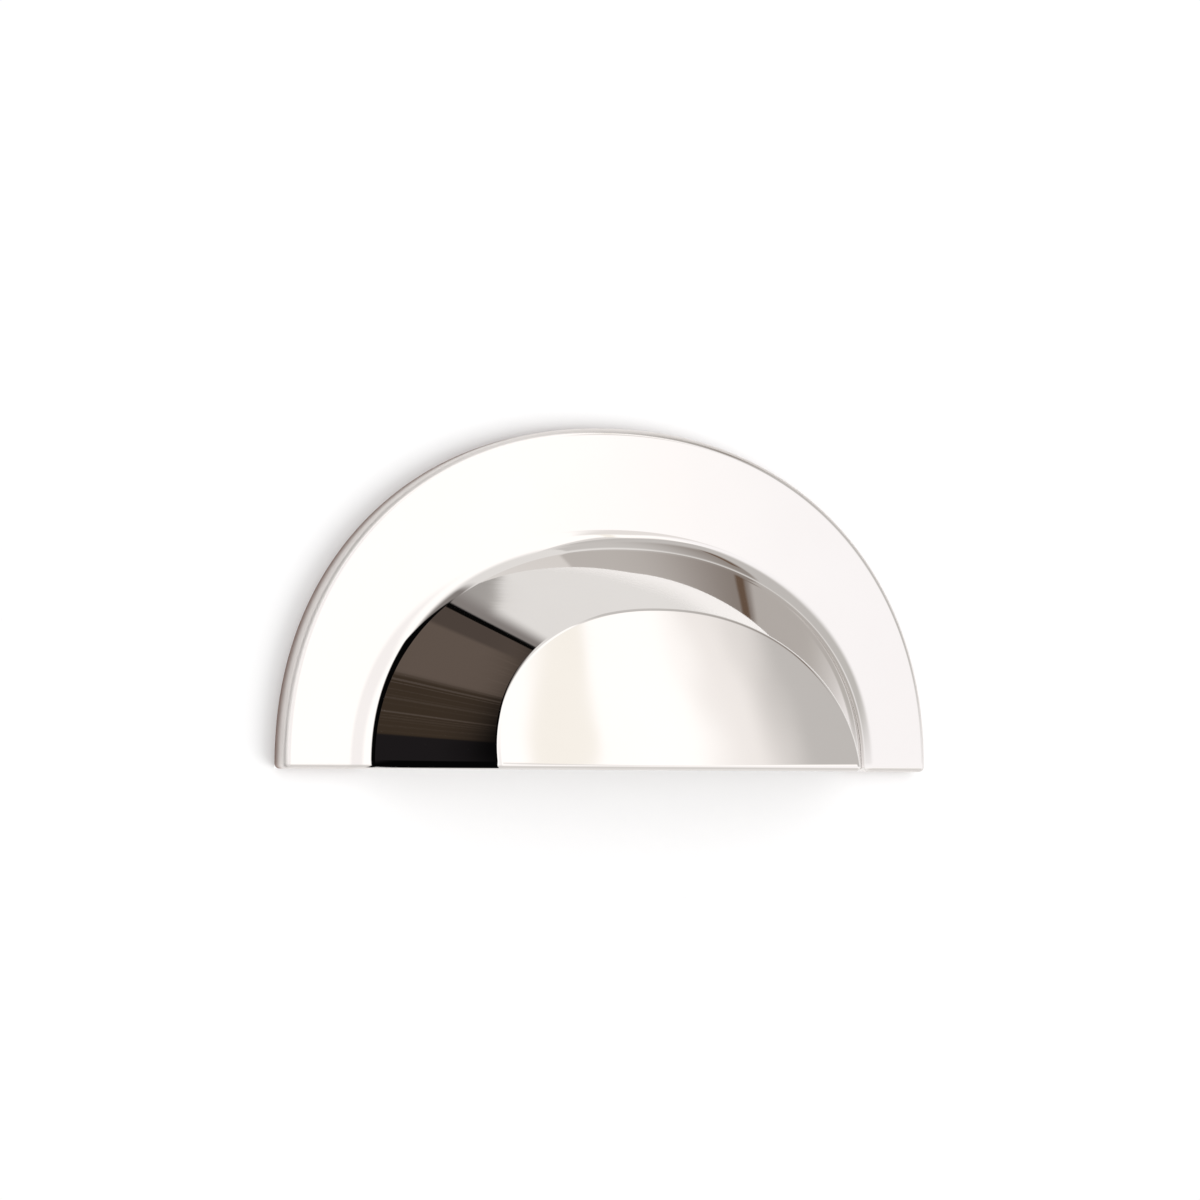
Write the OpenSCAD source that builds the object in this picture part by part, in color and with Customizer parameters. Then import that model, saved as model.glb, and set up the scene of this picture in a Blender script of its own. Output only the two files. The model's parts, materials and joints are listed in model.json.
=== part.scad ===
// Half-round cup pull for a drawer: one casting, fixed from behind by two screws.
// X runs along the pull, -Y towards the hand and +Z up.
// The origin is midway between the screw holes, on the back of the plate.

/* [Plate] */
// Width of the plate along its straight bottom edge
plate_width = 100; // [92:0.5:112]
// Height of the plate from its bottom edge to its crown
plate_height = 47.2; // [43:0.2:54]
// Thickness of the plate
plate_thickness = 3.5; // [2.6:0.1:4.5]
// Rounding of the plate's front edge
plate_edge_radius = 1; // [0.8:0.1:1.6]

/* [Cup] */
// Width of the cup where its wall runs into the plate
foot_width = 78; // [74:0.2:84]
// Height of the cup where its wall runs into the plate
foot_height = 31.3; // [28:0.1:35]
// Width of the flat face
face_width = 55; // [48:0.2:60]
// Height of the flat face, seen from the front
face_height = 21.8; // [19:0.1:25]
// How far the face stands out from the back of the plate, before its bottom edge is rounded
projection = 22; // [19:0.2:28]
// Lean of the face back towards the plate, in degrees
face_lean = 16.5; // [10:0.1:25]
// Thickness of the cup's wall and face
wall = 2.6; // [2:0.1:3.2]
// Fillet between the wall and the plate
foot_fillet = 4; // [2:0.1:6]
// Rounding of the edge between the wall and the face
face_edge_radius = 0.9; // [0.8:0.05:1.4]
// Fillet between the wall and the face inside the cup
inner_fillet = 2.5; // [1:0.1:4]
// Rounding of the bottom rim, outside and inside
rim_radius = 0.7; // [0.3:0.05:0.75]
// Fullness of every arched outline: 2 is an ellipse, more has squarer shoulders
squareness = 2.14; // [2:0.02:2.4]

/* [Fixing] */
// Distance between the two screw holes
screw_spacing = 64; // [58:0.5:66]
// Height of the screw holes above the bottom edge
screw_height = 8; // [6:0.5:11]
// Diameter of the screw holes before their thread is cut
screw_hole_d = 3.3; // [2.5:0.1:3.5]
// Depth of the screw holes down to their drill point
screw_hole_depth = 7; // [5:0.5:7.5]
// Diameter of the boss around each screw hole
boss_d = 8; // [7:0.2:9]
// Metal left in front of each drill point
boss_cover = 1; // [0.6:0.1:1.5]

/* [Hidden] */
// Angle and length of the drill point at the end of each screw hole
drill_angle = 118;
drill_point = screw_hole_d / 2 / tan(drill_angle / 2);
boss_height = screw_hole_depth + drill_point + boss_cover;
// Rise of the face towards the plate for each millimetre of height
lean_slope = tan(face_lean);
// Front-to-back thickness of the leaning face
face_thickness = wall / cos(face_lean);
// How far a cut runs past the face that it opens
overcut = 1;
// Flat pieces along each arch, around each edge and around each fillet
arch_steps = 72;
edge_steps = 4;
fillet_steps = 6;
// Pieces around each round boss and hole
$fn = 64;
// Polished nickel
nickel = [0.84, 0.83, 0.81];

function unit(v) = v / norm(v);

// Place of the face's front surface at height z
function face_y(z) = lean_slope * z - projection;

// A point of an arch that stands on the rim: x and z at angle t
function arch(width, height, t) =
    let (power = 2 / squareness)
    [sign(cos(t)) * width / 2 * pow(abs(cos(t)), power),
     rim_radius + (height - rim_radius) * pow(abs(sin(t)), power)];

// Points of the rounding of corner b between points a and c
function rounding(a, b, c, radius, steps) =
    let (to_a = unit(a - b),
         to_c = unit(c - b),
         half = acos(to_a * to_c) / 2,
         centre = b + unit(to_a + to_c) * radius / sin(half),
         from_arm = b + to_a * radius / tan(half) - centre,
         to_arm = b + to_c * radius / tan(half) - centre,
         turn = 180 - 2 * half)
    [for (k = [0:steps])
        centre + (sin(turn * (1 - k / steps)) * from_arm + sin(turn * k / steps) * to_arm) / sin(turn)];

// Corners of the section at angle t
function plate_corner(t) =
    let (p = arch(plate_width, plate_height, t)) [p.x, -plate_thickness, p.y];
function foot_corner(t) =
    let (p = arch(foot_width, foot_height, t)) [p.x, -plate_thickness, p.y];
function face_corner(t) =
    let (p = arch(face_width, face_height, t)) [p.x, face_y(p.y), p.y];
face_centre = [0, face_y(rim_radius), rim_radius];

// Section of the outside at angle t, from the back edge to the rim of the face
function outer_section(t) =
    let (edge = plate_corner(t),
         foot = foot_corner(t),
         face = face_corner(t),
         back = [edge.x, 0, edge.z])
    concat([back],
           rounding(back, edge, foot, plate_edge_radius, edge_steps),
           rounding(edge, foot, face, foot_fillet, fillet_steps),
           rounding(foot, face, face_centre, face_edge_radius, edge_steps));

// Section of the finger space at angle t: the outside moved in by the wall, and run past the back
function inner_section(t) =
    let (foot = foot_corner(t),
         face = face_corner(t),
         along = unit(face - foot),
         inward = face_centre - face,
         across = unit(inward - (inward * along) * along),
         start = foot + across * wall,
         run_to_back = (overcut - start.y) / along.y,
         depth_left = face_y(start.z) + face_thickness - start.y,
         run_to_face = depth_left / (along.y - lean_slope * along.z),
         back = start + along * run_to_back,
         corner = start + along * run_to_face,
         centre = face_centre + [0, face_thickness, 0])
    concat([back], rounding(back, corner, centre, inner_fillet, fillet_steps));

// Moves an open path in the XY plane to its left by distance d; its two ends slide along X
function moved_path(path, d) =
    let (last = len(path) - 1)
    [for (i = [0:last])
        let (before = unit(path[max(i, 1)] - path[max(i, 1) - 1]),
             after = unit(path[min(i, last - 1) + 1] - path[min(i, last - 1)]),
             along = before + after,
             left = unit([-along.y, along.x, 0]),
             square_on = left * [-before.y, before.x, 0])
        i == 0 ? path[0] + [d, 0, 0]
        : i == last ? path[last] - [d, 0, 0]
        : path[i] + left * d / square_on];

// Solid through a list of arched sections, which goes on straight down by drop.
// Its bottom rim is rounded inwards where rim_side is -1 and flared outwards where it is 1.
module arched_solid(sections, rim_side, drop) {
    stations = len(sections);
    per_section = len(sections[0]);
    last = per_section - 1;
    right_end = sections[0];
    left_end = [for (j = [last:-1:0]) sections[stations - 1][j]];
    rim_path = concat(right_end, left_end);
    path_last = len(rim_path) - 1;
    rim_layers = [for (k = [1:edge_steps])
        let (turn = 90 * k / edge_steps)
        [for (p = moved_path(rim_path, rim_side * rim_radius * (1 - cos(turn))))
            [p.x, p.y, rim_radius * (1 - sin(turn))]]];
    bottom = rim_layers[edge_steps - 1];
    below = drop > 0 ? [[for (p = bottom) p - [0, 0, drop]]] : [];
    layers = concat(rim_layers, below);
    lowest = layers[len(layers) - 1];
    middle = (lowest[0] + lowest[path_last]) / 2;
    first_layer = stations * per_section;
    points = concat([for (s = sections) each s], [for (layer = layers) each layer], [middle]);
    at_middle = len(points) - 1;

    function on_skin(i, j) = i * per_section + j;
    function on_layer(k, j) =
        k > 0 ? first_layer + (k - 1) * (path_last + 1) + j
        : j < per_section ? on_skin(0, j)
        : on_skin(stations - 1, path_last - j);

    skin = [for (i = [0:stations - 2], j = [0:last - 1])
        let (a = on_skin(i, j), b = on_skin(i + 1, j), c = on_skin(i + 1, j + 1), d = on_skin(i, j + 1))
        each [[a, b, c], [a, c, d]]];
    rim = [for (k = [0:len(layers) - 1], j = [0:path_last - 1])
        let (a = on_layer(k, j), b = on_layer(k, j + 1), c = on_layer(k + 1, j + 1), d = on_layer(k + 1, j))
        each [[a, d, c], [a, c, b]]];
    front = [for (i = [0:stations - 1]) on_skin(i, last)];
    back = concat([for (i = [stations - 1:-1:0]) on_skin(i, 0)],
                  [for (k = [1:len(layers)]) on_layer(k, 0)],
                  [at_middle],
                  [for (k = [len(layers):-1:1]) on_layer(k, path_last)]);
    underside = [for (j = [0:path_last - 1])
        [at_middle, on_layer(len(layers), j + 1), on_layer(len(layers), j)]];
    polyhedron(points, concat(skin, rim, underside, [front, back]));
}

angles = [for (i = [0:arch_steps]) 180 * i / arch_steps];

// Plate and cup as one solid form
module outer_form() {
    arched_solid([for (t = angles) outer_section(t)], -1, 0);
}

// Space for the fingers, open below and behind
module finger_space() {
    arched_solid([for (t = angles) inner_section(t)], 1, overcut);
}

// Draws its children at both screw places, with their Z to the front and their X away from the middle
module at_screws() {
    for (side = [0, 1])
        mirror([side, 0, 0])
            translate([screw_spacing / 2, 0, screw_height])
                rotate([90, 0, 0])
                    children();
}

// Bosses that grow out of the cup's wall
module screw_bosses() {
    at_screws()
        linear_extrude(boss_height) {
            circle(d = boss_d);
            translate([0, -boss_d / 2])
                square([foot_width / 2, boss_d]);
        }
}

// Blind holes with a drill point, open at the back
module screw_holes() {
    at_screws()
        rotate_extrude()
            polygon([[0, -overcut], [screw_hole_d / 2, -overcut], [screw_hole_d / 2, screw_hole_depth],
                     [0, screw_hole_depth + drill_point]]);
}

// The whole casting, moved so that the screw line lies at the origin
module cup_pull() {
    color(nickel)
        translate([0, 0, -screw_height])
            difference() {
                outer_form();
                difference() {
                    finger_space();
                    screw_bosses();
                }
                screw_holes();
            }
}

cup_pull();
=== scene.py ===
"""Looks of the cup pull: the polished casting, its finishes, and a plain studio around it."""
import json
import math

import bmesh
import bpy
from mathutils import Matrix, Quaternion, Vector


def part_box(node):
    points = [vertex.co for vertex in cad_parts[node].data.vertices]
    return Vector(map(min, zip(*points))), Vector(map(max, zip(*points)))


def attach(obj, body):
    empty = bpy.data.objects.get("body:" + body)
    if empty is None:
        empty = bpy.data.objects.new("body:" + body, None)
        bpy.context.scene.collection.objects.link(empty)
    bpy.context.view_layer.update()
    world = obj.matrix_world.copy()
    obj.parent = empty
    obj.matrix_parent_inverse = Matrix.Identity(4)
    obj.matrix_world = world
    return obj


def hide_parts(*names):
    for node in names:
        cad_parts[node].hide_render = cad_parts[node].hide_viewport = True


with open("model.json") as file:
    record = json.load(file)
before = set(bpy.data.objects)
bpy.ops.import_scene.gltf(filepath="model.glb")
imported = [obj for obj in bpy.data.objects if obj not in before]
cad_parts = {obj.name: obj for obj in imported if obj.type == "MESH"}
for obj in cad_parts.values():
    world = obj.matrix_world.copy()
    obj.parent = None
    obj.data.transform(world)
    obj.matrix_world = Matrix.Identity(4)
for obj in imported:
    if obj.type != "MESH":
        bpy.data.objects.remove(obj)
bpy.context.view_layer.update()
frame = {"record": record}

MM = 0.001

# Sizes that the frame gives
LOW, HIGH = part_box("cup_pull")
MOUNTS = {mount["name"]: mount for mount in frame["record"]["mounts"]}
SCREWS = MOUNTS["screw_holes"]["dims"]
RIM_LEVEL = LOW.z
PLATE_WIDTH = HIGH.x - LOW.x
PLATE_HEIGHT = HIGH.z - LOW.z
SCREW_SPACING = SCREWS["spacing_x_mm"] * MM
SCREW_HEIGHT = -RIM_LEVEL
THREAD_INSIDE = SCREWS["hole_r_mm"] * MM

# Sizes of the casting
PLATE_THICKNESS = 3.5 * MM
PLATE_EDGE = 1.0 * MM
FOOT_WIDTH = 78 * MM
FOOT_HEIGHT = 31.3 * MM
FACE_WIDTH = 55 * MM
FACE_HEIGHT = 21.8 * MM
PROJECTION = 22 * MM
FACE_LEAN = math.radians(16.5)
WALL = 2.6 * MM
FOOT_FILLET = 4 * MM
FACE_EDGE = 0.9 * MM
INNER_FILLET = 2.5 * MM
RIM_RADIUS = 0.7 * MM
SQUARENESS = 2.14
HOLE_DEPTH = 7 * MM
DRILL_ANGLE = math.radians(118)
BOSS_RADIUS = 4 * MM
BOSS_COVER = 1 * MM

# Sizes of the M4 thread in the screw holes, and half the width of the ridge that cuts it, at foot and crest
THREAD_OUTSIDE = 2 * MM
THREAD_PITCH = 0.7 * MM
RIDGE_FOOT = 0.44 * THREAD_PITCH
RIDGE_CREST = 0.06 * THREAD_PITCH

# Sizes that follow from these
FACE_SLOPE = math.tan(FACE_LEAN)
FACE_THICKNESS = WALL / math.cos(FACE_LEAN)
DRILL_POINT = THREAD_INSIDE / math.tan(DRILL_ANGLE / 2)
BOSS_HEIGHT = HOLE_DEPTH + DRILL_POINT + BOSS_COVER
MOUTH_DEPTH = THREAD_OUTSIDE - THREAD_INSIDE

# How far a cutting form runs past the surface that it opens, for large forms and for the thread
OVERCUT = 1 * MM
THREAD_OVERCUT = 0.15 * MM

# Pieces along the arch, around an edge, around a fillet, around a boss or hole and around a turn of thread
ARCH_STEPS = 240
EDGE_STEPS = 8
FILLET_STEPS = 16
ROUND_STEPS = 64
THREAD_STEPS = 24

# Distance below which two places are the same, and the least Y of a normal that looks straight back
TOUCHING = 1e-7
STRAIGHT_BACK = 0.999

# Shading: edges sharper than this angle stay sharp, and large faces set the normals around them
SHARP_EDGE = math.radians(35)
FACE_WEIGHT = 100

# Places of the axes in a vector, and of the finishes in the piece's list
Y, Z = 1, 2
POLISHED, LINISHED, CAST, THREADED = range(4)

# Tints of the metal: plated and polished, plated in the shade of the grain, plated casting, bare casting
NICKEL = (0.825, 0.793, 0.77)
NICKEL_DEEP = (0.80, 0.765, 0.74)
CASTING = (0.68, 0.65, 0.625)
ZINC = (0.58, 0.57, 0.56)

# Edge of the plate: a painted shade, a brown tint standing in for the mirrored contact shadow of the sheet,
# grows from the first place of BACK_EDGE to the second, up to its share, and the polish gets duller from
# the first place of FRONT_EDGE to the second
MIRRORED_SHADE_TINT = (0.3, 0.21, 0.18)
MIRRORED_SHADE_SHARE = 0.9
BACK_EDGE = (-2.3 * MM, -0.1 * MM)
FRONT_EDGE = (0.01 * MM - PLATE_THICKNESS, 0.2 * MM - PLATE_THICKNESS)
EDGE_ROUGHNESS = 0.48

# Directions in the studio, in degrees: azimuth runs right from the front, elevation up from level, roll
# right from straight up around the line from front to back, and tilt from level towards the front.
# Slanting edges have directions of their own. Forward and brow run across the front edge and the upper
# corner of the dark card, and lean runs across the part of the studio that the leaning face mirrors.
# Bow runs across the curved strip that the cup's left wall mirrors, and streak is noise along roll.
FORWARD_SLANT = 0.23
BROW_SLANT = 0.75
LEAN_SLANT = 0.34
BOW_MIDDLE = -52
BOW_SPREAD = 19
STREAK_SCALE = 0.8
STREAK_DETAIL = 3

# Panels of the studio, each over the ones before it: its brightness, and its edges, where it fades in from
# the first value of a direction to the second. The softbox is everywhere else.
BACKDROP = (1.03, 1.03, 1.03, 1)
SOFTBOX = (1.3, 1.3, 1.3, 1)
PALE_WALL = (0.91, 0.91, 0.905)
NEAR_BLACK = (0.002, 0.002, 0.002)
DARK_FRONT = ("forward", 39.5, 35)
DARK_SIDES = (("bow", 3.3, 2.4), ("tilt", -12, -7), ("roll", -12.6, -13.2))
PANELS = {
    "softbox_side": ((1.13, 1.12, 1.13), ("azimuth", -50, -30), ("azimuth", 14, -4), ("elevation", 44, 30)),
    "lower_side": ((0.8, 0.79, 0.78), ("elevation", -6, -45), ("tilt", -6, 6)),
    "softbox_margin": ((1.17, 1.17, 1.2), ("azimuth", 26, 32), ("elevation", 22, 14),
                       ("elevation", -24, -10)),
    "softbox_seam": ((1.13, 1.11, 1.05), ("lean", 20.9, 21.5), ("lean", 22.4, 22), ("elevation", 18, 24)),
    "softbox_end": ((1.08, 1.06, 1.05), ("azimuth", 33.7, 34.7), ("elevation", 20, 26)),
    "softbox_foot": ((0.95, 0.93, 0.92), ("azimuth", 26.5, 28.5), ("azimuth", 32, 30.5),
                     ("elevation", 5.5, 8), ("elevation", 26, 20)),
    "softbox_top": ((0.85, 0.84, 0.83), ("azimuth", 31, 33), ("elevation", 31.8, 34)),
    "ceiling": (PALE_WALL, ("elevation", 50, 66)),
    "back_wall": (PALE_WALL, ("tilt", 4, -6)),
    "right_card": ((0.62, 0.615, 0.6), ("azimuth", 33, 56), ("azimuth", 96, 80),
                   ("elevation", -4, 10), ("elevation", 62, 50)),
    "right_card_front": ((0.62, 0.61, 0.6), ("azimuth", 34.85, 35.9), ("azimuth", 96, 80),
                         ("elevation", 13, 22), ("elevation", 62, 50)),
    "right_card_top": ((0.67, 0.66, 0.65), ("roll", 18.2, 19.2), ("roll", 52, 50), ("tilt", 0, 8),
                       ("azimuth", 34, 46)),
    "right_card_shade": ((0.34, 0.31, 0.29), ("roll", 26, 49), ("roll", 52, 50), ("azimuth", 40, 48),
                         ("tilt", 0, 8)),
    "right_card_edge": ((0.18, 0.125, 0.09), ("roll", 47.2, 48.2), ("roll", 50.2, 49.2),
                        ("azimuth", 42, 48), ("tilt", 20, 22.5)),
    "ceiling_edge": ((0.42, 0.41, 0.4), ("bow", 2.32, 2.14), ("roll", 7, 4.5), ("roll", -12, -10),
                     ("tilt", -16, -10)),
    "left_ceiling": ((0.27, 0.252, 0.245), ("roll", -3.2, -9.4), ("roll", -40, -24), ("tilt", 32, 16)),
    "dark_card": (NEAR_BLACK, ("roll", -10.3, -11.1), ("roll", -116, -108), DARK_FRONT, ("brow", -9, -13),
                  ("tilt", -12, -7)),
    "dark_card_foot": (NEAR_BLACK, ("roll", -92, -98), ("roll", -170, -160), DARK_FRONT,
                       ("tilt", -40, -30)),
    "dark_card_blue": ((0.014, 0.0124, 0.0135), ("roll", -83, -82), *DARK_SIDES),
    "dark_card_brown": ((0.049, 0.035, 0.024), ("roll", -72.5, -71.2), *DARK_SIDES),
    "dark_card_streaks": ((0.092, 0.073, 0.06), ("streak", 0.52, 0.66), ("roll", -71, -69), *DARK_SIDES),
    "dark_card_light": ((0.138, 0.108, 0.09), ("roll", -46, -42), ("bow", 1.0, 1.2), *DARK_SIDES),
    "dark_card_top": ((0.087, 0.068, 0.058), ("roll", -21, -19), *DARK_SIDES),
}

# Floor: its gap to the pull's back, and its reach and fade in steps of half the pull's size
FLOOR_GAP = 0.02 * MM
FLOOR_REACH = 2.7
FLOOR_FADE = (1.35, 2)
FLOOR_TINT = (0.84, 0.84, 0.84, 1)
FLOOR_ROUGHNESS = 0.8

# Lamp: the side that it stands on, its strength and its spread
LAMP_SIDE = Vector((1.2, -1, -0.45))
LAMP_STRENGTH = 1.6
LAMP_SPREAD = math.radians(50)

# Camera: its angle to the left of square-on, its distance, the place that it aims at, its roll and its lens
CAMERA_YAW = math.radians(28)
CAMERA_DISTANCE = 520 * MM
CAMERA_AIM = Vector((-1.1 * MM, 0.6 * MM, RIM_LEVEL + PLATE_HEIGHT / 2))
CAMERA_ROLL = math.radians(0.31)
CAMERA_LENS = 112.55


def face_y(z):
    """Place of the face's front surface at a height above the rim."""
    return FACE_SLOPE * z - PROJECTION


def arch(width, height, turn):
    """Point (x, z) of an arched outline that stands on the rim, at an angle from its right end."""
    power = 2 / SQUARENESS
    x = math.copysign(width / 2 * abs(math.cos(turn)) ** power, math.cos(turn))
    return x, RIM_RADIUS + (height - RIM_RADIUS) * abs(math.sin(turn)) ** power


def arch_turns():
    """Angles of the steps along an arch, from its right end to its left end."""
    return [math.pi * i / ARCH_STEPS for i in range(ARCH_STEPS + 1)]


def rounding(a, b, c, radius, steps):
    """Points around the rounding of corner b between points a and c."""
    to_a = (a - b).normalized()
    to_c = (c - b).normalized()
    half = to_a.angle(to_c) / 2
    centre = b + (to_a + to_c).normalized() * radius / math.sin(half)
    start = b + to_a * radius / math.tan(half) - centre
    end = b + to_c * radius / math.tan(half) - centre
    return [centre + start.slerp(end, k / steps) * radius for k in range(steps + 1)]


FACE_CENTRE = Vector((0, face_y(RIM_RADIUS), RIM_RADIUS))


def corners(turn):
    """Corners of plate edge, cup foot and face edge at an angle of the arch."""
    plate_x, plate_z = arch(PLATE_WIDTH, PLATE_HEIGHT, turn)
    foot_x, foot_z = arch(FOOT_WIDTH, FOOT_HEIGHT, turn)
    face_x, face_z = arch(FACE_WIDTH, FACE_HEIGHT, turn)
    return (Vector((plate_x, -PLATE_THICKNESS, plate_z)),
            Vector((foot_x, -PLATE_THICKNESS, foot_z)),
            Vector((face_x, face_y(face_z), face_z)))


def outer_section(turn):
    """Outside of the casting at an angle of the arch, from the back edge to the middle of the face."""
    plate, foot, face = corners(turn)
    back = Vector((plate.x, 0, plate.z))
    return [back,
            *rounding(back, plate, foot, PLATE_EDGE, EDGE_STEPS),
            *rounding(plate, foot, face, FOOT_FILLET, FILLET_STEPS),
            *rounding(foot, face, FACE_CENTRE, FACE_EDGE, EDGE_STEPS),
            FACE_CENTRE]


def inner_section(turn):
    """Finger space at an angle of the arch: the outside moved in by the wall, and run past the back."""
    _, foot, face = corners(turn)
    along = (face - foot).normalized()
    inward = FACE_CENTRE - face
    across = (inward - inward.dot(along) * along).normalized()
    start = foot + across * WALL
    to_back = (OVERCUT - start.y) / along.y
    to_face = (face_y(start.z) + FACE_THICKNESS - start.y) / (along.y - FACE_SLOPE * along.z)
    back = start + along * to_back
    corner = start + along * to_face
    centre = FACE_CENTRE + Vector((0, FACE_THICKNESS, 0))
    return [back, *rounding(back, corner, centre, INNER_FILLET, FILLET_STEPS), centre]


def new_verts(made):
    """Vertices among the things that an operator has made."""
    return [item for item in made["geom"] if isinstance(item, bmesh.types.BMVert)]


def on_plane(form, axis, place):
    """Edges of a form that lie in a plane square to an axis."""
    return [edge for edge in form.edges
            if all(abs(vert.co[axis] - place) < TOUCHING for vert in edge.verts)]


def arched_form(section, back, bottom):
    """Closed form that a sheet makes when it is bent to a section all along the arch."""
    sections = [section(turn) for turn in arch_turns()]
    form = bmesh.new()
    bmesh.ops.create_grid(form, x_segments=len(sections[0]) - 1, y_segments=ARCH_STEPS)
    for vert, place in zip(form.verts, (point for points in sections for point in points)):
        vert.co = place
    bmesh.ops.remove_doubles(form, verts=form.verts, dist=TOUCHING)
    lowest = new_verts(bmesh.ops.extrude_edge_only(form, edges=on_plane(form, Z, RIM_RADIUS)))
    bmesh.ops.translate(form, verts=lowest, vec=(0, 0, bottom - RIM_RADIUS))
    form.edges.new([vert for vert in lowest if abs(vert.co.y - back) < TOUCHING])
    bmesh.ops.contextual_create(form, geom=on_plane(form, Y, back))
    bmesh.ops.contextual_create(form, geom=on_plane(form, Z, bottom))
    bmesh.ops.recalc_face_normals(form, faces=form.faces)
    return form


def round_rim(form, edges):
    """Rounds edges of the bottom rim."""
    bmesh.ops.bevel(form, geom=edges, offset=RIM_RADIUS, offset_type="OFFSET", segments=EDGE_STEPS,
                    profile=0.5, affect="EDGES", material=-1, clamp_overlap=False)


def outer_form():
    """Plate and cup as one solid form."""
    form = arched_form(outer_section, 0, 0)
    back_edges = set(on_plane(form, Y, 0))
    round_rim(form, [edge for edge in on_plane(form, Z, 0) if edge not in back_edges])
    return form


def finger_space():
    """Space for the fingers, which runs out past the back and the bottom."""
    return arched_form(inner_section, OVERCUT, -OVERCUT)


def screw_places():
    """Side and middle of each screw hole on the back plane, left and right."""
    return [(side, Vector((side * SCREW_SPACING / 2, 0, SCREW_HEIGHT))) for side in (-1, 1)]


def screw_bosses():
    """Bosses that grow out of the cup's wall: round towards the middle, square towards the wall."""
    form = bmesh.new()
    past_space = 2 * OVERCUT
    facing_front = Matrix.Rotation(math.pi / 2, 4, "X")
    for side, place in screw_places():
        start = Matrix.Translation(place + Vector((0, past_space, 0))) @ facing_front
        disc = bmesh.ops.create_circle(form, cap_ends=True, radius=BOSS_RADIUS, segments=ROUND_STEPS,
                                       matrix=start)
        for vert in disc["verts"]:
            if side * (vert.co.x - place.x) > TOUCHING:
                vert.co.x = place.x + side * FOOT_WIDTH / 2
        column = bmesh.ops.extrude_face_region(form, geom=list(disc["verts"][0].link_faces))
        bmesh.ops.translate(form, verts=new_verts(column), vec=(0, -BOSS_HEIGHT - past_space, 0))
    bmesh.ops.recalc_face_normals(form, faces=form.faces)
    return form


def drilled_holes():
    """Blind holes with a drill point and a countersunk mouth."""
    profile = ((0, OVERCUT), (THREAD_OUTSIDE + OVERCUT, OVERCUT), (THREAD_INSIDE, -MOUTH_DEPTH),
               (THREAD_INSIDE, -HOLE_DEPTH), (0, -HOLE_DEPTH - DRILL_POINT))
    form = bmesh.new()
    for _, place in screw_places():
        line = [form.verts.new(place + Vector((radius, depth, 0))) for radius, depth in profile]
        edges = [form.edges.new(pair) for pair in zip(line, line[1:])]
        bmesh.ops.spin(form, geom=line + edges, cent=place, axis=(0, 1, 0), angle=2 * math.pi,
                       steps=ROUND_STEPS, use_merge=True)
    bmesh.ops.remove_doubles(form, verts=form.verts, dist=TOUCHING)
    bmesh.ops.recalc_face_normals(form, faces=form.faces)
    return form


def thread_grooves():
    """Coiled ridges that cut the thread's grooves all along the holes."""
    form = bmesh.new()
    turns = HOLE_DEPTH / THREAD_PITCH
    steps = round(turns * THREAD_STEPS)
    inside = THREAD_INSIDE - THREAD_OVERCUT
    profile = ((inside, -RIDGE_FOOT), (THREAD_OUTSIDE, -RIDGE_CREST),
               (THREAD_OUTSIDE, RIDGE_CREST), (inside, RIDGE_FOOT))
    for _, place in screw_places():
        start = place + Vector((0, THREAD_PITCH, 0))
        ring = [form.verts.new(start + Vector((radius, along, 0))) for radius, along in profile]
        cap = form.faces.new(ring)
        bmesh.ops.spin(form, geom=[cap], cent=place, axis=(0, 1, 0), dvec=(0, -HOLE_DEPTH / steps, 0),
                       angle=2 * math.pi * turns, steps=steps)
    bmesh.ops.holes_fill(form, edges=[edge for edge in form.edges if edge.is_boundary], sides=0)
    bmesh.ops.recalc_face_normals(form, faces=form.faces)
    return form


def placed(thing, name):
    """New object in the scene that holds a mesh, a lamp or a camera."""
    holder = bpy.data.objects.new(name, thing)
    bpy.context.scene.collection.objects.link(holder)
    return holder


def solid(name, form, materials, material_place=0):
    """Smooth object of a form whose heights count from the rim, with every face in one of its materials."""
    bmesh.ops.translate(form, verts=form.verts, vec=(0, 0, RIM_LEVEL))
    for face in form.faces:
        face.material_index = material_place
        face.smooth = True
    mesh = bpy.data.meshes.new(name)
    form.to_mesh(mesh)
    form.free()
    for material in materials:
        mesh.materials.append(material)
    return placed(mesh, name)


def cut(body, tool):
    """Takes a tool's form out of a body, and the tool out of the scene."""
    change = body.modifiers.new(tool.name, "BOOLEAN")
    change.operation = "DIFFERENCE"
    change.solver = "EXACT"
    change.object = tool
    result = body.evaluated_get(bpy.context.evaluated_depsgraph_get())
    body.data = bpy.data.meshes.new_from_object(result)
    body.modifiers.clear()
    bpy.data.objects.remove(tool)


def finish_edges(piece):
    """Rounds the rim of the finger space, gives the back its own finish and sets up the shading."""
    form = bmesh.new()
    form.from_mesh(piece.data)
    back_edges = set(on_plane(form, Y, 0))
    rim = [edge for edge in on_plane(form, Z, RIM_LEVEL) if edge not in back_edges
           and any(face.material_index == CAST for face in edge.link_faces)]
    round_rim(form, rim)
    for face in form.faces:
        if face.normal.y > STRAIGHT_BACK and abs(face.calc_center_median().y) < TOUCHING:
            face.material_index = LINISHED
    form.to_mesh(piece.data)
    form.free()
    piece.data.set_sharp_from_angle(angle=SHARP_EDGE)
    shading = piece.modifiers.new("even_shading", "WEIGHTED_NORMAL")
    shading.keep_sharp = True
    shading.weight = FACE_WEIGHT


def cup_pull(finishes):
    """The whole casting: the outer form less the finger space, which leaves the bosses, less the holes."""
    space = solid("finger_space", finger_space(), finishes, CAST)
    cut(space, solid("screw_bosses", screw_bosses(), finishes, CAST))
    casting = solid("nickel_cup_pull", outer_form(), finishes, POLISHED)
    cut(casting, space)
    cut(casting, solid("drilled_holes", drilled_holes(), finishes, THREADED))
    cut(casting, solid("thread_grooves", thread_grooves(), finishes, THREADED))
    finish_edges(casting)
    return casting


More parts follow.
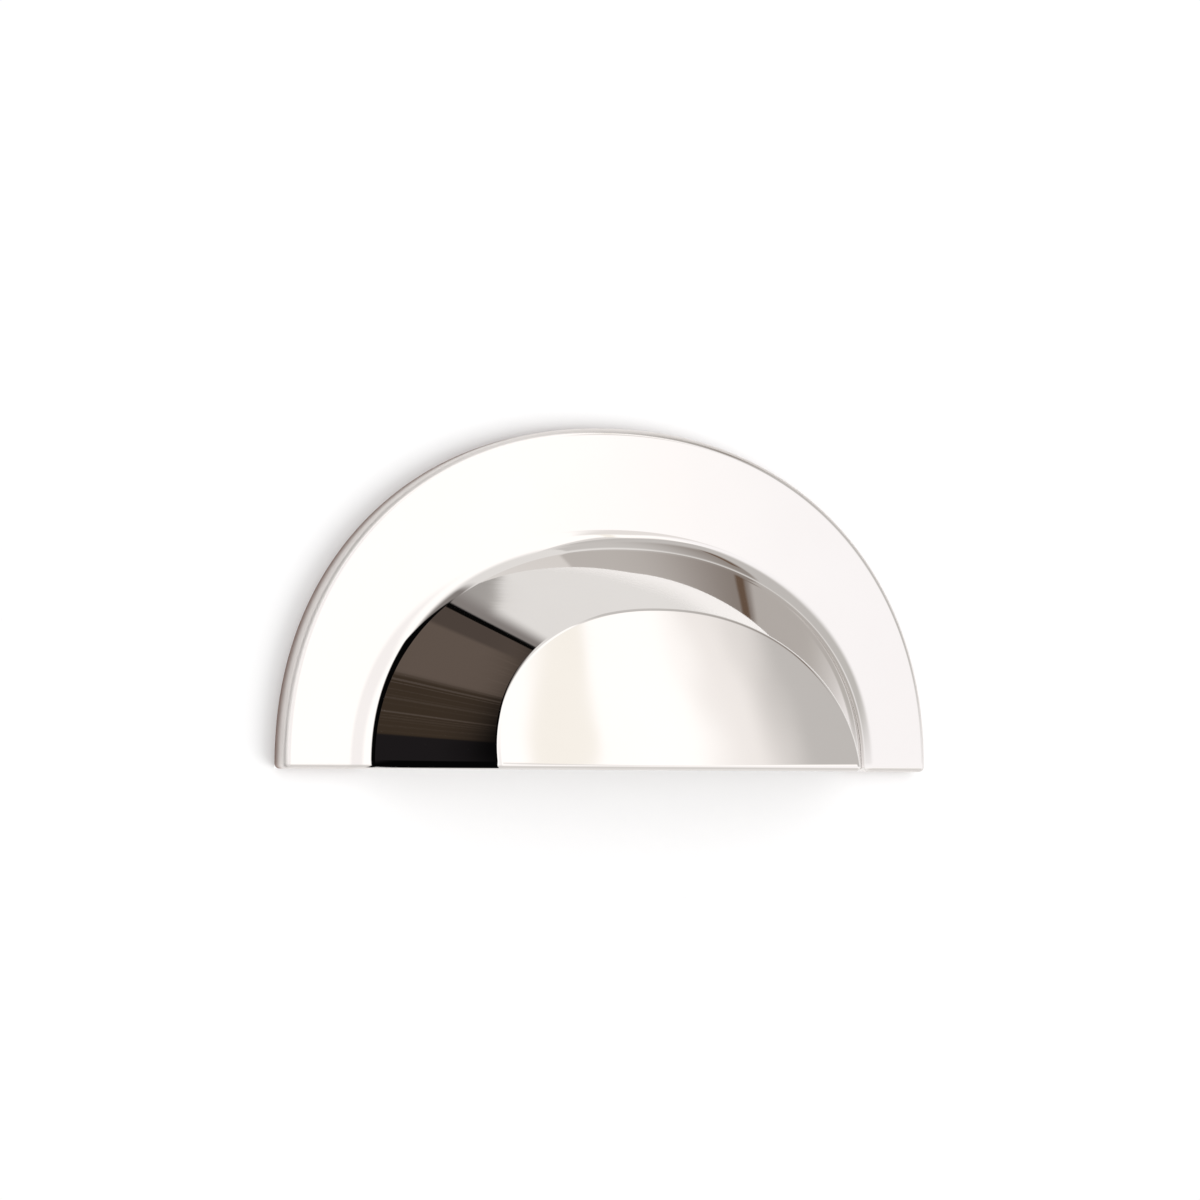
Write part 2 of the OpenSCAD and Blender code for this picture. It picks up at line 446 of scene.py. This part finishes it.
class Socket:
    """A shader output that takes part in sums like a number."""

    def __init__(self, tree, output=None):
        self.tree = tree
        self.output = output

    def node(self, kind, settings, sockets, output=0):
        """One output of a new node in the same tree: its settings are set first, then its sockets."""
        made = self.tree.nodes.new(kind)
        for name, value in settings.items():
            setattr(made, name, value)
        for name, value in sockets.items():
            if isinstance(value, Socket):
                self.tree.links.new(value.output, made.inputs[name])
            else:
                made.inputs[name].default_value = value
        return Socket(self.tree, made.outputs[output])

    def maths(self, operation, *terms):
        """Result of one operation on sockets and numbers."""
        return self.node("ShaderNodeMath", {"operation": operation}, dict(enumerate(terms)))

    def __add__(self, other):
        return self.maths("ADD", self, other)

    def __sub__(self, other):
        return self.maths("SUBTRACT", self, other)

    def __rsub__(self, other):
        return self.maths("SUBTRACT", other, self)

    def __mul__(self, other):
        return self.maths("MULTIPLY", self, other)

    def __truediv__(self, other):
        return self.maths("DIVIDE", self, other)

    def __rtruediv__(self, other):
        return self.maths("DIVIDE", other, self)

    __radd__ = __add__
    __rmul__ = __mul__


def blend(amount, first, second):
    """Colour between two colours."""
    return amount.node("ShaderNodeMix", {"data_type": "RGBA"}, {0: amount, 6: first, 7: second}, 2)


def ramp(value, start, end):
    """Smooth step from 0 at the start to 1 at the end."""
    return value.node("ShaderNodeMapRange", {"interpolation_type": "SMOOTHSTEP"},
                      {"Value": value, "From Min": start, "From Max": end})


def noise(place, size, stretch=(1, 1, 1), detail=2):
    """Even noise from about 0.2 to 0.8, its grains of a size in metres and longer along stretched axes."""
    scale = [1 / (size * factor) for factor in stretch]
    scaled = place.node("ShaderNodeMapping", {}, {"Vector": place, "Scale": scale})
    return place.node("ShaderNodeTexNoise", {}, {"Vector": scaled, "Scale": 1, "Detail": detail})


class Finish:
    """A metal finish: its material, and the place on the piece as the start of every pattern."""

    def __init__(self, name, tint):
        self.material = bpy.data.materials.new(name)
        self.material.use_nodes = True
        self.material.diffuse_color = (*tint, 1)
        self.tree = self.material.node_tree
        self.shader = self.tree.nodes["Principled BSDF"]
        self.shader.inputs["Metallic"].default_value = 1
        self.place = Socket(self.tree).node("ShaderNodeTexCoord", {}, {}, "Object")

    def dress(self, colour, roughness, height, depth):
        """Feeds the shader with a colour, a roughness and a relief of a depth in metres."""
        relief = height.node("ShaderNodeBump", {}, {"Height": height, "Distance": depth})
        for name, value in {"Base Color": colour, "Roughness": roughness, "Normal": relief}.items():
            self.tree.links.new(value.output, self.shader.inputs[name])
        return self.material


def polished_nickel():
    """Mirror-bright plate with the faint waves and hairlines that hand polishing leaves."""
    finish = Finish("polished_nickel", NICKEL)
    waves = noise(finish.place, size=9 * MM, detail=0)
    hairlines = noise(finish.place, size=0.12 * MM, stretch=(60, 60, 1), detail=1)
    clouds = noise(finish.place, size=14 * MM)
    depth_place = finish.place.node("ShaderNodeSeparateXYZ", {}, {0: finish.place}, "Y")
    plating = blend(clouds, (*NICKEL, 1), (*NICKEL_DEEP, 1))
    # Painted shade: brown towards the plate's back edge, standing in for the mirrored contact shadow of the
    # sheet
    colour = blend(MIRRORED_SHADE_SHARE * ramp(depth_place, *BACK_EDGE), plating, (*MIRRORED_SHADE_TINT, 1))
    roughness = 0.02 + 0.03 * clouds * hairlines + EDGE_ROUGHNESS * ramp(depth_place, *FRONT_EDGE)
    return finish.dress(colour, roughness, height=waves + 0.01 * hairlines, depth=0.012 * MM)


def linished_back():
    """Back ground flat on a belt: fine straight lines along the pull."""
    finish = Finish("linished_back", NICKEL)
    lines = noise(finish.place, size=0.18 * MM, stretch=(140, 1, 1), detail=3)
    clouds = noise(finish.place, size=8 * MM)
    colour = blend(lines, (*NICKEL_DEEP, 1), (*NICKEL, 1))
    roughness = 0.2 + 0.1 * lines + 0.08 * clouds
    return finish.dress(colour, roughness, height=lines, depth=0.012 * MM)


def plated_casting():
    """Inside of the cup: the cast skin under the plating, not polished."""
    finish = Finish("plated_casting", NICKEL_DEEP)
    grain = noise(finish.place, size=0.5 * MM, detail=3)
    clouds = noise(finish.place, size=7 * MM)
    colour = blend(clouds, (*NICKEL_DEEP, 1), (*CASTING, 1))
    roughness = 0.28 + 0.2 * grain
    return finish.dress(colour, roughness, height=grain + clouds, depth=0.05 * MM)


def cut_thread():
    """Bare metal of the drilled and tapped holes, with the marks of the tool."""
    finish = Finish("cut_thread", ZINC)
    marks = noise(finish.place, size=0.1 * MM, stretch=(4, 1, 4))
    colour = blend(marks, (*ZINC, 1), (*NICKEL_DEEP, 1))
    roughness = 0.25 + 0.2 * marks
    return finish.dress(colour, roughness, height=marks, depth=0.01 * MM)


def pale_paper():
    """White paper that is clear from behind and fades out at a distance from the pull."""
    material = bpy.data.materials.new("pale_paper")
    material.use_nodes = True
    tree = material.node_tree
    shader = tree.nodes["Principled BSDF"]
    shader.inputs["Base Color"].default_value = FLOOR_TINT
    shader.inputs["Roughness"].default_value = FLOOR_ROUGHNESS
    shader.inputs["Specular IOR Level"].default_value = 0
    place = Socket(tree).node("ShaderNodeTexCoord", {}, {}, "Object")
    middle = Vector((0, 0, RIM_LEVEL + PLATE_HEIGHT / 2))
    half_size = Vector((PLATE_WIDTH / 2, PLATE_WIDTH / 2, PLATE_HEIGHT / 2))
    offset = place.node("ShaderNodeVectorMath", {"operation": "SUBTRACT"}, {0: place, 1: middle})
    steps_out = place.node("ShaderNodeVectorMath", {"operation": "DIVIDE"}, {0: offset, 1: half_size})
    distance = place.node("ShaderNodeVectorMath", {"operation": "LENGTH"}, {0: steps_out}, "Value")
    behind = place.node("ShaderNodeNewGeometry", {}, {}, "Backfacing")
    cover = (1 - behind) * (1 - ramp(distance, *FLOOR_FADE))
    tree.links.new(cover.output, shader.inputs["Alpha"])
    return material


def pale_floor():
    """Pale sheet close behind the pull, open where its back is, and clear when it is seen from behind."""
    crown = [arch(PLATE_WIDTH, PLATE_HEIGHT, turn) for turn in arch_turns()]
    outline = [(PLATE_WIDTH / 2, 0), *crown, (-PLATE_WIDTH / 2, 0)]
    form = bmesh.new()
    loop = [form.verts.new((x, FLOOR_GAP, z)) for x, z in outline]
    edges = [form.edges.new(pair) for pair in zip(loop, loop[1:] + loop[:1])]
    border = new_verts(bmesh.ops.extrude_edge_only(form, edges=edges))
    bmesh.ops.scale(form, verts=border, vec=(FLOOR_REACH, 1, FLOOR_REACH),
                    space=Matrix.Translation((0, 0, -PLATE_HEIGHT / 2)))
    form.normal_update()
    turned = [face for face in form.faces if face.normal.y > 0]
    bmesh.ops.reverse_faces(form, faces=turned)
    return solid("pale_floor", form, [pale_paper()])


def side_lamp():
    """Soft lamp on the right that shades the floor to the left of the pull and isn't mirrored in it."""
    lamp = bpy.data.lights.new("side_lamp", "SUN")
    lamp.energy = LAMP_STRENGTH
    lamp.angle = LAMP_SPREAD
    holder = placed(lamp, "side_lamp")
    holder.rotation_mode = "QUATERNION"
    holder.rotation_quaternion = LAMP_SIDE.to_track_quat("Z", "Y")
    holder.visible_glossy = False


def studio_directions(outward):
    """Every direction that a panel's edge can run across, for a look outward into the studio."""
    right, back, up = (outward.node("ShaderNodeSeparateXYZ", {}, {0: outward}, axis) for axis in "XYZ")
    front = back * -1
    azimuth = right.maths("ARCTAN2", right, front) * math.degrees(1)
    elevation = up.maths("ARCSINE", up) * math.degrees(1)
    roll = right.maths("ARCTAN2", right, up) * math.degrees(1)
    tilt = front.maths("ARCSINE", front) * math.degrees(1)
    off_middle = (roll - BOW_MIDDLE) / BOW_SPREAD
    streak = outward.node("ShaderNodeTexNoise", {"noise_dimensions": "1D"},
                          {"W": roll, "Scale": STREAK_SCALE, "Detail": STREAK_DETAIL})
    return {
        "azimuth": azimuth,
        "elevation": elevation,
        "roll": roll,
        "tilt": tilt,
        "forward": tilt - FORWARD_SLANT * roll,
        "brow": roll + BROW_SLANT * tilt,
        "lean": azimuth - LEAN_SLANT * elevation,
        "bow": tilt + off_middle * off_middle,
        "streak": streak,
    }


def studio():
    """World of soft panels around the pull, in front of a plain pale backdrop."""
    world = bpy.data.worlds.new("studio")
    world.use_nodes = True
    tree = world.node_tree
    outward = Socket(tree).node("ShaderNodeTexCoord", {}, {}, "Generated")
    directions = studio_directions(outward)
    light = SOFTBOX
    for brightness, *edges in PANELS.values():
        inside = 1
        for direction, start, end in edges:
            inside = ramp(directions[direction], start, end) * inside
        light = blend(inside, light, (*brightness, 1))
    seen = outward.node("ShaderNodeLightPath", {}, {}, "Is Camera Ray")
    shown = blend(seen, light, BACKDROP)
    tree.links.new(shown.output, tree.nodes["Background"].inputs["Color"])
    return world


def photo_camera():
    """Camera level with the rim, to the left of the middle."""
    camera = bpy.data.cameras.new("photo_camera")
    camera.lens = CAMERA_LENS
    holder = placed(camera, "photo_camera")
    left = CAMERA_DISTANCE * math.sin(CAMERA_YAW)
    ahead = CAMERA_DISTANCE * math.cos(CAMERA_YAW)
    holder.location = (-left, -ahead, RIM_LEVEL)
    look = (CAMERA_AIM - holder.location).to_track_quat("-Z", "Y")
    holder.rotation_mode = "QUATERNION"
    holder.rotation_quaternion = look @ Quaternion((0, 0, 1), CAMERA_ROLL)
    return holder


piece = cup_pull([polished_nickel(), linished_back(), plated_casting(), cut_thread()])
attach(piece, "root")
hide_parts("cup_pull")
pale_floor()
side_lamp()

scene = bpy.context.scene
scene.world = studio()
scene.camera = photo_camera()
scene.view_settings.view_transform = "Standard"
